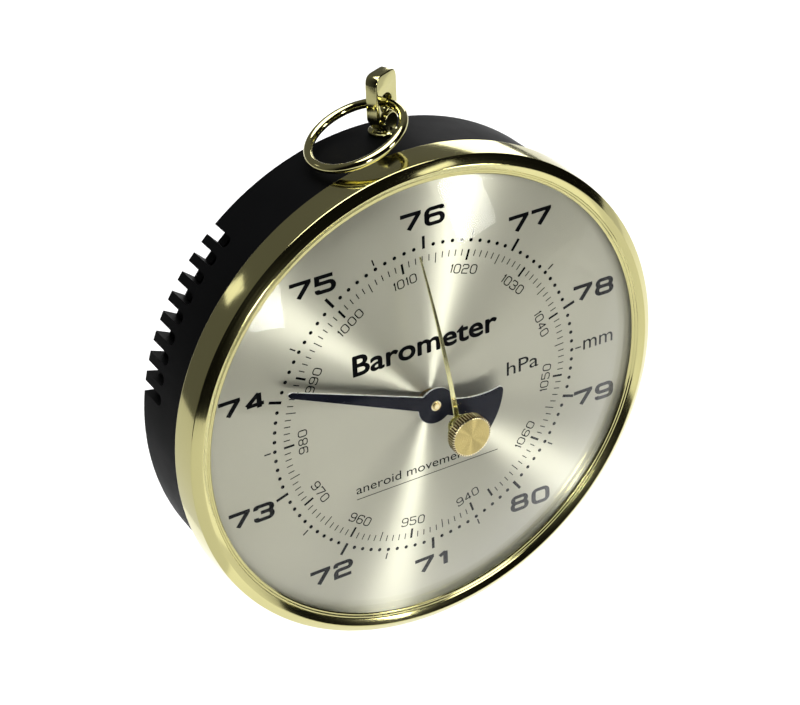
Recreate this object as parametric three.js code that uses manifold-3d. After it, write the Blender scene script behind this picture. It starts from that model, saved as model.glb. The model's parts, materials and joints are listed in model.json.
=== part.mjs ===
// Aneroid barometer, 130 mm wall type with a hanging ring.
// Units are millimetres. +X is right and +Z is up as the dial is read, and the dial faces -Y.
// The origin is where the dial's axis meets the flat back of the case.
// Clock angles run clockwise from 12 as the dial is read, which is a positive turn about +Y.
import * as THREE from 'three';
import { mergeVertices } from 'three/addons/utils/BufferGeometryUtils.js';
import Module from 'manifold-3d';

const wasm = await Module();
wasm.setup();

const DEG = Math.PI / 180;
const GAP = 0.3; // clearance left between pieces that touch on the real object
const ROUND_STEPS = 72; // facets round the case, bezel, dial and glass

// ---- case, bezel and glass ----
const CASE_R = 63.8;
const CASE_WALL = 2.6;
const CASE_BACK = 3;
const CASE_FRONT_Y = -24.2;
const DIAL_Y = -25.3; // printed face of the dial
const DIAL_R = 62.5;
const DIAL_THICKNESS = 0.8;
const BEZEL_R = 65.2;
const BEZEL_BACK_Y = -20.4;
const BEZEL_CREST_Y = -29.1;
const GLASS_APEX_Y = -40.9;
const GLASS_DOME_R = 133.4;
const GLASS_THICKNESS = 1.5;
const GLASS_EDGE_R = 61.6;
const GLASS_EDGE_Y = DIAL_Y - GAP;
const GLASS_HOLE_R = 1.3;

// ---- vent slots in the corner between side wall and back ----
const VENT_GROUPS = [60, 180, 300];
const VENTS_PER_GROUP = 9;
const VENT_PITCH = 4.7;
const VENT_WIDTH = 2.9;
const VENT_LENGTH = 9.3;
const VENT_DEPTH = 3.9;

// ---- hanging eye and ring ----
const EYE_X = 0.7;
const EYE_Y = -7.05;
const EYE_TURN = 26;
const EYE_WIDTH = 8.2;
const EYE_THICKNESS = 3.3;
const EYE_TOP = 15.5; // heights of the eye are counted from the top of the case
const EYE_BOTTOM = 2.6;
const EYE_HOLE_X = -0.6;
const EYE_HOLE_Z = 8.1;
const EYE_HOLE_R = 2.2;
const EYE_BOSS_R = 2.7;
const EYE_BOSS_Z = 3.2;
const EYE_BOSS_HEIGHT = 0.9;
const EYE_STUD_R = 1.8;
const RING_R = 11.74;
const RING_WIRE_R = 1.1;
const RING_AT = new THREE.Vector3(0, -7.4, CASE_R + 8); // the wire crosses the eye low in its hole
const RING_AXIS = new THREE.Vector3(0.43, -0.88, 0.19).normalize();
const RING_DROP = 18.6; // how far below level the ring has fallen, in degrees

// ---- hands ----
const POINTER_ANGLE = 292.9;
const POINTER_LENGTH = 42.5;
const POINTER_BOSS_R = 4.9;
const POINTER_ROOT_WIDTH = 3.8;
const POINTER_TIP_WIDTH = 1.6;
const POINTER_FRONT_Y = -28.9;
const POINTER_THICKNESS = 0.5;
const TAIL_R = 19.4;
const TAIL_HALF_ANGLE = 20.5;
const TAIL_CORNER_R = 1.3;
const SET_ANGLE = -5.9;
const SET_LENGTH = 43.4;
const SET_HUB_R = 2.6;
const SET_ROOT_WIDTH = 1.3;
const SET_TIP_WIDTH = 0.45;
const SET_THICKNESS = 0.4;
const SET_HUB_Y = -38.4;
const SET_TIP_Y = -31.1;
const KNOB_R = 5.3;
const KNOB_FRONT_Y = -45.5;
const KNOB_BACK_Y = -42.9;
const KNOB_FLUTES = 52;
const SHAFT_R = 0.9;

// ---- movement ----
const PLATE_Y = -5; // back face of the base plate
const PLATE_R = 34;
const PLATE_THICKNESS = 1.5;
const FEET_R = 28;
const FEET_ANGLES = [0, 120, 240];
const PINION_R = 1.5;
const SECTOR_R = 18;
const PINION_TEETH = 12;
const SECTOR_Y = -20.2; // back face of the sector
const ROCKER_Z = -8;
const ROCKER_Y = -16.2;
const ROCKER_HALF = 27;
const DRIVE_ARM = 4.5; // also how far the sector's mid plane is from the rocker's axis
const CRANK_ARM = 3.2;
const SECTOR_X = Math.sqrt((PINION_R + SECTOR_R) ** 2 - ROCKER_Z ** 2);
const SECTOR_TURN = Math.atan2(-SECTOR_X, -ROCKER_Z);
const CAPSULE_Z = ROCKER_Z + CRANK_ARM;
const CAPSULE_R = 19;
const GEAR_PLATE_Y = -17.9; // back face of the rear gear plate
const FRONT_PLATE_Y = -22.8; // back face of the front gear plate
const PILLARS = [[-15, 13], [13, 16], [22, 10]];
const SPACERS = [[-7, -5], [-5, 8], [20.5, 4]];

const COLOURS = {
  case: [0x17191d, 0.5, 0],
  brass: [0xcdbb78, 0.16, 1],
  dial: [0xc4bfa8, 0.38, 0.9],
  glass: [0xdfe8e6, 0.03, 0],
  pointer: [0x15171c, 0.45, 0.3],
  rubber: [0x1c1c1c, 0.8, 0],
  movement: [0xb99a54, 0.35, 1],
  steel: [0x9a9ca0, 0.35, 1],
  capsule: [0xb8b9b4, 0.3, 1],
};

const group = new THREE.Group();

function material(name) {
  const [color, roughness, metalness] = COLOURS[name];
  return new THREE.MeshStandardMaterial({ color, roughness, metalness });
}

function add(name, geometry, colour, parent = group) {
  const mesh = new THREE.Mesh(geometry, material(colour));
  mesh.name = name;
  parent.add(mesh);
  return mesh;
}

// ---- shaping helpers ----

function toSolid(geometry) {
  const bare = geometry.clone();
  bare.deleteAttribute('normal');
  bare.deleteAttribute('uv');
  const merged = mergeVertices(bare, 1e-4);
  return new wasm.Manifold(new wasm.Mesh({
    numProp: 3,
    vertProperties: new Float32Array(merged.attributes.position.array),
    triVerts: new Uint32Array(merged.index.array),
  }));
}

function toGeometry(solid) {
  const mesh = solid.getMesh();
  const geometry = new THREE.BufferGeometry();
  geometry.setAttribute('position', new THREE.BufferAttribute(new Float32Array(mesh.vertProperties), 3));
  geometry.setIndex(new THREE.BufferAttribute(new Uint32Array(mesh.triVerts), 1));
  geometry.computeVertexNormals();
  return geometry;
}

function joined(...geometries) {
  return toGeometry(geometries.map(toSolid).reduce((sum, piece) => sum.add(piece)));
}

function cut(geometry, ...cutters) {
  return toGeometry(cutters.map(toSolid).reduce((left, piece) => left.subtract(piece), toSolid(geometry)));
}

// A body of revolution about Y. The profile is a list of [radius, y].
function turned(profile, segments = 48) {
  let area = 0;
  profile.forEach(([r, y], i) => {
    const [nextR, nextY] = profile[(i + 1) % profile.length];
    area += r * nextY - nextR * y;
  });
  const points = profile.map(([r, y]) => new THREE.Vector2(r, y));
  if (area < 0) points.reverse();
  const onAxis = points[0].x === 0 && points[points.length - 1].x === 0;
  if (!onAxis) points.push(points[0].clone());
  return new THREE.LatheGeometry(points, segments);
}

// A rod, disc or tube about Y, from frontY to backY, centred on (x, z).
function rod(radius, frontY, backY, { x = 0, z = 0, bore = 0, segments = 16 } = {}) {
  const profile = bore > 0
    ? [[bore, frontY], [radius, frontY], [radius, backY], [bore, backY]]
    : [[0, frontY], [radius, frontY], [radius, backY], [0, backY]];
  return turned(profile, segments).translate(x, 0, z);
}

// A flat plate drawn in X and Z, with its back face at backY.
function plate(shape, backY, thickness, curveSegments = 8) {
  const settings = { depth: thickness, bevelEnabled: false, curveSegments };
  return new THREE.ExtrudeGeometry(shape, settings).rotateX(Math.PI / 2).translate(0, backY, 0);
}

// The outline round a row of points, with round corners of one radius, as an open list of corners.
function roundedHull(corners, radius, steps = 4) {
  const shape = new THREE.Shape();
  const count = corners.length;
  corners.forEach(([x, z], i) => {
    const [px, pz] = corners[(i + count - 1) % count];
    const [nx, nz] = corners[(i + 1) % count];
    const start = Math.atan2(z - pz, x - px) - Math.PI / 2;
    let end = Math.atan2(nz - z, nx - x) - Math.PI / 2;
    if (end < start) end += 2 * Math.PI;
    for (let k = 0; k <= steps; k += 1) {
      const angle = start + ((end - start) * k) / steps;
      const point = [x + radius * Math.cos(angle), z + radius * Math.sin(angle)];
      if (i === 0 && k === 0) shape.moveTo(...point);
      else shape.lineTo(...point);
    }
  });
  shape.closePath();
  return shape;
}

function onCircle(radius, clockAngle) {
  return [radius * Math.sin(clockAngle * DEG), radius * Math.cos(clockAngle * DEG)];
}

function domeY(radius, inset = 0) {
  const centreY = GLASS_APEX_Y + GLASS_DOME_R;
  return centreY - Math.sqrt((GLASS_DOME_R - inset) ** 2 - radius ** 2);
}

function domeRadius(y, inset) {
  return Math.sqrt((GLASS_DOME_R - inset) ** 2 - (GLASS_APEX_Y + GLASS_DOME_R - y) ** 2);
}

// ---- case ----

function ventCutter(clockAngle) {
  const half = VENT_WIDTH / 2;
  const shape = new THREE.Shape();
  shape.moveTo(-half, 1);
  shape.lineTo(-half, half - VENT_LENGTH);
  shape.absarc(0, half - VENT_LENGTH, half, Math.PI, 2 * Math.PI, false);
  shape.lineTo(half, 1);
  shape.closePath();
  const depth = VENT_DEPTH + 3;
  const geometry = new THREE.ExtrudeGeometry(shape, { depth, bevelEnabled: false, curveSegments: 3 });
  return geometry.translate(0, 0, CASE_R - VENT_DEPTH).rotateY(clockAngle * DEG);
}

function caseShell() {
  const inner = CASE_R - CASE_WALL;
  const cup = turned([
    [0, 0], [CASE_R, 0], [CASE_R, CASE_FRONT_Y], [inner, CASE_FRONT_Y], [inner, -CASE_BACK], [0, -CASE_BACK],
  ], ROUND_STEPS);
  const bosses = FEET_ANGLES.map((angle) => {
    const [x, z] = onCircle(FEET_R, angle);
    return rod(3.6, PLATE_Y + GAP, -CASE_BACK + 0.5, { x, z });
  });
  const cutters = [];
  for (const centre of VENT_GROUPS) {
    for (let i = 0; i < VENTS_PER_GROUP; i += 1) {
      cutters.push(ventCutter(centre + (i - (VENTS_PER_GROUP - 1) / 2) * VENT_PITCH));
    }
  }
  for (const angle of FEET_ANGLES) {
    const [x, z] = onCircle(FEET_R, angle);
    cutters.push(rod(1.5, -10, 1, { x, z }), rod(2.9, -2, 1, { x, z }));
  }
  cutters.push(rod(3.5, -10, 1, { z: CAPSULE_Z }));
  const studHole = new THREE.CylinderGeometry(EYE_STUD_R + GAP, EYE_STUD_R + GAP, 8, 20);
  cutters.push(studHole.rotateX(Math.PI / 2).translate(EYE_X, EYE_Y, CASE_R));
  return cut(joined(cup, ...bosses), ...cutters);
}

function bezel() {
  return turned([
    [BEZEL_R, BEZEL_BACK_Y], [64.5, -27.6], [62.2, BEZEL_CREST_Y], [59.3, -27.4], [59.5, -27.2],
    [63.5, -26.9], [63.5, -24.4], [CASE_R + GAP, -24.1], [CASE_R + GAP, BEZEL_BACK_Y],
  ], ROUND_STEPS);
}

function crystal() {
  const innerEdge = domeRadius(GLASS_EDGE_Y, GLASS_THICKNESS);
  const steps = 6;
  const profile = [];
  for (let i = 0; i <= steps; i += 1) {
    const r = GLASS_HOLE_R + ((GLASS_EDGE_R - GLASS_HOLE_R) * i) / steps;
    profile.push([r, domeY(r)]);
  }
  profile.push([GLASS_EDGE_R, GLASS_EDGE_Y]);
  for (let i = steps; i >= 0; i -= 1) {
    const r = GLASS_HOLE_R + ((innerEdge - GLASS_HOLE_R) * i) / steps;
    profile.push([r, domeY(r, GLASS_THICKNESS)]);
  }
  return turned(profile, ROUND_STEPS);
}

function crystalGasket() {
  return rod(63.2, -26.6, DIAL_Y - GAP, { bore: GLASS_EDGE_R + GAP, segments: ROUND_STEPS });
}

function dialPlate() {
  return rod(DIAL_R, DIAL_Y, DIAL_Y + DIAL_THICKNESS, { bore: 3, segments: ROUND_STEPS });
}

// ---- hanging eye and ring ----

function eyeOutline() {
  const half = EYE_WIDTH / 2;
  const shape = new THREE.Shape();
  shape.moveTo(-2.4, EYE_BOTTOM);
  shape.lineTo(2.4, EYE_BOTTOM);
  shape.quadraticCurveTo(half, EYE_BOTTOM + 0.4, half, EYE_BOTTOM + 3.4);
  shape.lineTo(half, EYE_TOP - 2.2);
  shape.quadraticCurveTo(half, EYE_TOP, half - 1.9, EYE_TOP);
  shape.lineTo(1.9 - half, EYE_TOP);
  shape.quadraticCurveTo(-half, EYE_TOP, -half, EYE_TOP - 2.2);
  shape.lineTo(-half, EYE_BOTTOM + 3.4);
  shape.quadraticCurveTo(-half, EYE_BOTTOM + 0.4, -2.4, EYE_BOTTOM);
  const hole = new THREE.Path();
  hole.absarc(EYE_HOLE_X, EYE_HOLE_Z, EYE_HOLE_R, 0, 2 * Math.PI, true);
  shape.holes.push(hole);
  return shape;
}

// The eye is made with its plate facing -Y, standing on z = 0 at the top of the case.
function hangingEye() {
  const body = plate(eyeOutline(), EYE_THICKNESS / 2, EYE_THICKNESS, 6);
  const foot = turned([
    [0, -CASE_WALL - 3.4], [EYE_STUD_R, -CASE_WALL - 3.4], [EYE_STUD_R, GAP], [3.5, GAP], [3.5, 1.3],
    [2, 1.8], [1.6, EYE_BOTTOM + 0.6], [0, EYE_BOTTOM + 0.6],
  ], 18).rotateX(Math.PI / 2);
  const face = -EYE_THICKNESS / 2;
  const boss = rod(EYE_BOSS_R, face - EYE_BOSS_HEIGHT, face + 1, { segments: 24 }).translate(0, 0, EYE_BOSS_Z);
  return joined(joined(body, foot), boss);
}

function eyeNut() {
  const shape = new THREE.Shape();
  for (let i = 0; i < 6; i += 1) {
    const angle = i * 60 * DEG;
    const point = [3.4 * Math.cos(angle), 3.4 * Math.sin(angle)];
    if (i === 0) shape.moveTo(...point);
    else shape.lineTo(...point);
  }
  shape.closePath();
  const bore = new THREE.Path();
  bore.absarc(0, 0, EYE_STUD_R + GAP, 0, 2 * Math.PI, true);
  shape.holes.push(bore);
  const nut = new THREE.ExtrudeGeometry(shape, { depth: 2, bevelEnabled: false, curveSegments: 8 });
  return nut.translate(EYE_X, EYE_Y, CASE_R - CASE_WALL - 0.5 - 2);
}

// The ring's wire runs through the eye's hole along RING_AXIS, and its centre has swung down to the left.
function hangingRing() {
  const side = new THREE.Vector3(RING_AXIS.y, -RING_AXIS.x, 0).normalize();
  const up = side.clone().cross(RING_AXIS);
  const toCentre = side.multiplyScalar(Math.cos(RING_DROP * DEG)).addScaledVector(up, -Math.sin(RING_DROP * DEG));
  const normal = RING_AXIS.clone().cross(toCentre);
  const basis = new THREE.Matrix4().makeBasis(RING_AXIS, toCentre, normal);
  basis.setPosition(RING_AT.clone().addScaledVector(toCentre, RING_R));
  return new THREE.TorusGeometry(RING_R, RING_WIRE_R, 8, 44).applyMatrix4(basis);
}

// ---- set hand and its knob ----

function setKnob() {
  const outline = new THREE.Shape();
  const steps = KNOB_FLUTES * 2;
  for (let i = 0; i < steps; i += 1) {
    const [x, z] = onCircle(i % 2 ? KNOB_R - 0.25 : KNOB_R, (360 * i) / steps);
    if (i === 0) outline.moveTo(x, z);
    else outline.lineTo(x, z);
  }
  outline.closePath();
  const grip = plate(outline, KNOB_BACK_Y, KNOB_BACK_Y - KNOB_FRONT_Y - 0.25);
  const faceR = KNOB_R - 0.5;
  const faceBack = KNOB_FRONT_Y + 0.8;
  const face = turned([[0, KNOB_FRONT_Y], [faceR, KNOB_FRONT_Y], [faceR, faceBack], [0, faceBack]], 36);
  return cut(joined(grip, face), rod(SHAFT_R + GAP, KNOB_FRONT_Y + 1, KNOB_BACK_Y + 1));
}

// A flat strip made at 12 o'clock, with its slope down from the hub under the dome added afterwards.
function setHand() {
  const shape = new THREE.Shape();
  const neck = Math.sqrt(SET_HUB_R ** 2 - (SET_ROOT_WIDTH / 2) ** 2);
  const neckAngle = Math.atan2(neck, SET_ROOT_WIDTH / 2);
  const bendStart = 4.5;
  shape.moveTo(-SET_ROOT_WIDTH / 2, neck);
  shape.absarc(0, 0, SET_HUB_R, Math.PI - neckAngle, 2 * Math.PI + neckAngle, false);
  shape.lineTo(SET_ROOT_WIDTH / 2, bendStart);
  shape.lineTo(SET_TIP_WIDTH / 2, SET_LENGTH);
  shape.lineTo(-SET_TIP_WIDTH / 2, SET_LENGTH);
  shape.lineTo(-SET_ROOT_WIDTH / 2, bendStart);
  shape.closePath();
  const hole = new THREE.Path();
  hole.absarc(0, 0, SHAFT_R + GAP, 0, 2 * Math.PI, true);
  shape.holes.push(hole);
  const geometry = plate(shape, SET_HUB_Y, SET_THICKNESS, 10);
  const slope = (SET_TIP_Y - SET_HUB_Y) / (SET_LENGTH - bendStart);
  const points = geometry.attributes.position;
  for (let i = 0; i < points.count; i += 1) {
    points.setY(i, points.getY(i) + slope * Math.max(0, points.getZ(i) - bendStart));
  }
  return geometry;
}

// ---- pointer and the arbor that carries it ----

function pointerOutline() {
  const halfRoot = POINTER_ROOT_WIDTH / 2;
  const halfTip = POINTER_TIP_WIDTH / 2;
  const shape = new THREE.Shape();
  const neckAngle = Math.acos(halfRoot / POINTER_BOSS_R);
  const tailAngle = Math.acos(2.2 / POINTER_BOSS_R);
  const corner = TAIL_R - TAIL_CORNER_R;
  const cornerAngle = TAIL_HALF_ANGLE * DEG - Math.asin(TAIL_CORNER_R / corner);
  const cornerX = corner * Math.sin(cornerAngle);
  const cornerZ = -corner * Math.cos(cornerAngle);
  shape.moveTo(-halfTip, POINTER_LENGTH - 1);
  shape.lineTo(-halfRoot, POINTER_BOSS_R * Math.sin(neckAngle));
  shape.absarc(0, 0, POINTER_BOSS_R, Math.PI - neckAngle, Math.PI + tailAngle, false);
  shape.quadraticCurveTo(-2.3, -11.5, -cornerX - TAIL_CORNER_R * 0.95, cornerZ + TAIL_CORNER_R * 0.3);
  shape.absarc(-cornerX, cornerZ, TAIL_CORNER_R, Math.PI, 1.5 * Math.PI - cornerAngle, false);
  shape.absarc(0, 0, TAIL_R, 1.5 * Math.PI - cornerAngle, 1.5 * Math.PI + cornerAngle, false);
  shape.absarc(cornerX, cornerZ, TAIL_CORNER_R, 1.5 * Math.PI + cornerAngle, 2 * Math.PI, false);
  shape.quadraticCurveTo(2.3, -11.5, 2.2, -POINTER_BOSS_R * Math.sin(tailAngle));
  shape.absarc(0, 0, POINTER_BOSS_R, -tailAngle, neckAngle, false);
  shape.lineTo(halfTip, POINTER_LENGTH - 1);
  shape.quadraticCurveTo(0, POINTER_LENGTH + 1, -halfTip, POINTER_LENGTH - 1);
  const hole = new THREE.Path();
  hole.absarc(0, 0, SHAFT_R + GAP, 0, 2 * Math.PI, true);
  shape.holes.push(hole);
  return shape;
}

function toothedOutline(pitchR, depth, pitchAngle, teeth) {
  const points = [];
  for (let i = 0; i < teeth; i += 1) {
    const middle = (i - (teeth - 1) / 2) * pitchAngle;
    const [root, tip] = [pitchR - depth, pitchR - 0.03];
    for (const [r, share] of [[root, -0.34], [tip, -0.12], [tip, 0.12], [root, 0.34]]) {
      points.push(onCircle(r, middle + share * pitchAngle));
    }
  }
  return points;
}

function shapeOf(points) {
  const shape = new THREE.Shape();
  points.forEach(([x, z], i) => (i === 0 ? shape.moveTo(x, z) : shape.lineTo(x, z)));
  shape.closePath();
  return shape;
}

function pinionArbor() {
  const toothed = plate(shapeOf(toothedOutline(PINION_R, 0.4, 360 / PINION_TEETH, PINION_TEETH)), -19.8, 1.8);
  const shaft = rod(SHAFT_R, POINTER_FRONT_Y - 0.6, -19.2);
  const pivot = rod(0.5, -19.5, -17.6, { segments: 12 });
  return joined(toothed, shaft, pivot);
}

// The sector is made with its teeth towards 12 o'clock about its own pivot, and its forked tail
// turned to where the rocker's drive pin stands.
function sectorGear() {
  const pitchAngle = (360 / PINION_TEETH) * (PINION_R / SECTOR_R);
  const rim = toothedOutline(SECTOR_R, 0.5, pitchAngle, 22);
  const neck = 2.4;
  const shape = shapeOf([...rim, [neck, 3], [neck, -neck], [-neck, -neck], [-neck, 3]]);
  const inner = SECTOR_R - 3;
  const window = new THREE.Path();
  window.moveTo(1, 6);
  window.lineTo(inner * Math.sin(17 * DEG), inner * Math.cos(17 * DEG));
  window.absarc(0, 0, inner, 73 * DEG, 107 * DEG, false);
  window.lineTo(-1, 6);
  window.closePath();
  shape.holes.push(window);
  const fork = DRIVE_ARM + 1.2;
  const slot = SHAFT_R * 0.55 + 0.45;
  const tail = shapeOf([
    [-1.6, 0], [-1.6, fork], [-slot, fork], [-slot, DRIVE_ARM - 1.1], [slot, DRIVE_ARM - 1.1],
    [slot, fork], [1.6, fork], [1.6, 0],
  ]);
  const tailTurn = 90 * DEG - SECTOR_TURN;
  const blank = joined(plate(shape, SECTOR_Y, 1, 6), plate(tail, SECTOR_Y, 1).rotateY(tailTurn));
  return cut(blank, rod(0.9 + GAP, SECTOR_Y - 2, SECTOR_Y + 1));
}

function sectorArbor() {
  return turned([
    [0, -23.3], [0.6, -23.3], [0.6, -22.5], [0.9, -22.5], [0.9, -19.2], [0.6, -19.2], [0.6, -18.1], [0, -18.1],
  ], 16);
}

function hairspring() {
  const innerR = 1.9;
  const outerR = 5;
  const turns = 4;
  const steps = turns * 14;
  const halfStrip = 0.12;
  const edge = (offset) => Array.from({ length: steps + 1 }, (_, i) => (
    onCircle(innerR + ((outerR - innerR) * i) / steps + offset, (360 * turns * i) / steps)
  ));
  const strip = plate(shapeOf([...edge(halfStrip), ...edge(-halfStrip).reverse()]), -21.9, 0.5);
  return joined(strip, rod(0.45, -22.5, -21.7, { z: outerR, segments: 10 }));
}

// ---- rocker between the capsule and the sector ----

function alongX(radius, fromX, toX, segments = 16) {
  const geometry = new THREE.CylinderGeometry(radius, radius, toX - fromX, segments);
  return geometry.rotateZ(Math.PI / 2).translate((fromX + toX) / 2, ROCKER_Y, ROCKER_Z);
}

function box(width, depth, height, x, y, z) {
  return new THREE.BoxGeometry(width, depth, height).translate(x, y, z);
}

function rockerShaft() {
  const shoulder = ROCKER_HALF - 2.2;
  const crank = box(1.6, 0.8, CRANK_ARM + 0.8, 0, ROCKER_Y, ROCKER_Z + (CRANK_ARM + 0.8) / 2);
  const pivots = alongX(0.5, -ROCKER_HALF - 1, ROCKER_HALF + 1, 12);
  return joined(alongX(0.9, -shoulder, shoulder), pivots, crank);
}

function driveArm() {
  const x = SECTOR_X + DRIVE_ARM;
  const pin = rod(0.5, -22.3, ROCKER_Y - 1, { x, z: ROCKER_Z, segments: 12 });
  return cut(joined(alongX(1.8, x - 0.9, x + 0.9), pin), alongX(0.9 + GAP, x - 2, x + 2));
}

function rockerPost(x) {
  const frontY = ROCKER_Y - 1.8;
  const backY = PLATE_Y - PLATE_THICKNESS - GAP;
  const block = box(3.4, backY - frontY, 5, x, (frontY + backY) / 2, ROCKER_Z);
  return cut(block, alongX(0.8, x - 3, x + 3));
}

// ---- capsule: two corrugated discs with their rims together ----

function capsuleDisc(front) {
  const middleY = -10.85;
  const dish = 2.25;
  const thickness = 0.4;
  const flatR = 17.6;
  const bore = front ? 1.2 + GAP : 0;
  const steps = 8;
  const side = front ? -1 : 1;
  const surface = (offset) => Array.from({ length: steps + 1 }, (_, i) => {
    const r = bore + ((flatR - bore) * i) / steps;
    const fall = 1 - (r / flatR) ** 2;
    const wave = 0.28 * Math.cos((r / flatR) * 2 * 2 * Math.PI) * Math.min(1, fall * 4);
    return [r, middleY + side * (0.35 + (dish - 0.35) * fall + wave + offset)];
  });
  const rim = [[CAPSULE_R, middleY + side * 0.15], [CAPSULE_R, middleY + side * (0.15 + thickness)]];
  return turned([...surface(-thickness / 2), ...rim, ...surface(thickness / 2).reverse()], 32);
}

function capsulePost() {
  return turned([[0, -15.4], [0.5, -15.4], [1.2, -14.4], [1.2, -11.8], [0, -11.8]], 20);
}

// ---- plates, pillars and screws ----

function basePlate() {
  const holes = FEET_ANGLES.map((angle) => {
    const [x, z] = onCircle(FEET_R, angle);
    return rod(1.5, -10, 0, { x, z, segments: 12 });
  });
  const disc = rod(PLATE_R, PLATE_Y - PLATE_THICKNESS, PLATE_Y, { segments: 48 });
  return cut(disc, ...holes, rod(2.3, -10, 0, { z: CAPSULE_Z, segments: 20 }));
}

function gearPlate(corners, backY, thickness, holes) {
  const cutters = holes.map(([x, z, radius]) => rod(radius, backY - 3, backY + 3, { x, z, segments: 12 }));
  return cut(plate(roundedHull(corners, 2.6), backY, thickness), ...cutters);
}

// A post with a thinner tenon that passes forward through the plate it carries.
function shoulderedPost(radius, tenonR, backY, shoulderY, tenonY) {
  return turned([
    [0, tenonY], [tenonR, tenonY], [tenonR, shoulderY], [radius, shoulderY], [radius, backY], [0, backY],
  ], 16);
}

function hexNut(acrossCorners, bore, frontY, backY) {
  const corners = Array.from({ length: 6 }, (_, i) => onCircle(acrossCorners / 2, i * 60));
  return cut(plate(shapeOf(corners), backY, backY - frontY), rod(bore, frontY - 1, backY + 1, { segments: 16 }));
}

// A slotted screw driven from behind: its head faces +Y.
function slottedScrew(headR, shankR, headBackY, headThickness, endY, slot) {
  const body = turned([
    [0, endY], [shankR, endY], [shankR, headBackY - headThickness], [headR, headBackY - headThickness],
    [headR, headBackY], [0, headBackY],
  ], 16);
  return cut(body, box(headR * 3, slot, slot, 0, headBackY, 0));
}

// ---- assembly ----

add('case_shell', caseShell(), 'case');
add('bezel', bezel(), 'brass');
add('crystal', crystal(), 'glass');
add('crystal_gasket', crystalGasket(), 'rubber');
add('dial_plate', dialPlate(), 'dial');

const eye = new THREE.Group();
eye.position.set(EYE_X, EYE_Y, CASE_R);
eye.rotation.z = EYE_TURN * DEG;
group.add(eye);
add('hanging_eye', hangingEye(), 'brass', eye);
add('eye_nut', eyeNut(), 'steel');
add('hanging_ring', hangingRing(), 'brass');

add('set_knob', setKnob(), 'brass');
add('knob_washer', rod(4.1, -42.5, -41.2, { bore: GLASS_HOLE_R, segments: 28 }), 'brass');
add('set_shaft', rod(SHAFT_R, KNOB_FRONT_Y + 1.4, SET_HUB_Y + 0.6, { segments: 20 }), 'brass');
add('inner_washer', rod(2.2, -39.22, -38.95, { bore: GLASS_HOLE_R, segments: 24 }), 'brass');
add('set_hand', setHand(), 'brass').rotation.y = SET_ANGLE * DEG;

add('pointer', plate(pointerOutline(), POINTER_FRONT_Y + POINTER_THICKNESS, POINTER_THICKNESS, 6), 'pointer')
  .rotation.y = POINTER_ANGLE * DEG;
add('pointer_pipe', rod(1.7, -28.1, -26, { bore: SHAFT_R + GAP }), 'movement');
add('pinion_arbor', pinionArbor(), 'movement');
add('hairspring_collet', rod(1.5, -22.5, -21.9, { bore: SHAFT_R + GAP }), 'movement');
add('hairspring', hairspring(), 'steel');

const sector = new THREE.Group();
sector.position.set(SECTOR_X, 0, ROCKER_Z);
sector.rotation.y = SECTOR_TURN;
group.add(sector);
add('sector_gear', sectorGear(), 'movement', sector);
add('sector_arbor', sectorArbor(), 'steel', sector);

add('rocker_shaft', rockerShaft(), 'steel');
add('drive_arm', driveArm(), 'movement');
add('rocker_post_left', rockerPost(-ROCKER_HALF), 'movement');
add('rocker_post_right', rockerPost(ROCKER_HALF), 'movement');

add('capsule_back_disc', capsuleDisc(false), 'capsule').position.z = CAPSULE_Z;
add('capsule_front_disc', capsuleDisc(true), 'capsule').position.z = CAPSULE_Z;
add('capsule_stud', rod(3.5, -8.1, PLATE_Y - PLATE_THICKNESS - GAP), 'steel').position.z = CAPSULE_Z;
add('capsule_post', capsulePost(), 'steel').position.z = CAPSULE_Z;
add('adjusting_screw', slottedScrew(3, 2, -0.8, 1.6, -6.4, 0.8), 'steel').position.z = CAPSULE_Z;

add('base_plate', basePlate(), 'movement');
FEET_ANGLES.forEach((angle, i) => {
  const [x, z] = onCircle(FEET_R, angle);
  add(`case_screw_${i + 1}`, slottedScrew(2.5, 1.2, -0.4, 1.2, -6.3, 0.6), 'steel').position.set(x, 0, z);
});

const gearPlateFront = GEAR_PLATE_Y - 1;
const sectorPivot = [SECTOR_X, ROCKER_Z];
const rearCorners = [PILLARS[0], SPACERS[0], sectorPivot, PILLARS[2], PILLARS[1]];
const rearHoles = [[0, 0, 0.8], [...sectorPivot, 0.9], ...PILLARS.map((at) => [...at, 1.3])];
add('gear_plate', gearPlate(rearCorners, GEAR_PLATE_Y, 1, rearHoles), 'movement');
const frontCorners = [SPACERS[1], SPACERS[0], sectorPivot, SPACERS[2]];
const frontHoles = [[0, 0, 1.2], [...sectorPivot, 0.9], ...SPACERS.map((at) => [...at, 1.1])];
add('front_plate', gearPlate(frontCorners, FRONT_PLATE_Y, 0.8, frontHoles), 'movement');

PILLARS.forEach(([x, z], i) => {
  const pillar = shoulderedPost(2, 1, PLATE_Y - PLATE_THICKNESS - GAP, GEAR_PLATE_Y + GAP, -20.2);
  add(`pillar_${i + 1}`, pillar, 'movement').position.set(x, 0, z);
  const nut = hexNut(5.6, 1.3, -20.1, gearPlateFront - GAP);
  add(`pillar_nut_${i + 1}`, nut, 'steel').position.set(x, 0, z);
});
SPACERS.forEach(([x, z], i) => {
  const spacer = shoulderedPost(1.8, 0.8, gearPlateFront - GAP, FRONT_PLATE_Y + GAP, -23.8);
  add(`spacer_${i + 1}`, spacer, 'movement').position.set(x, 0, z);
});

export default group;
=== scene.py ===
import json
import math
import random

import bmesh
import bpy
from mathutils import Matrix, Vector
from mathutils.geometry import delaunay_2d_cdt


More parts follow.
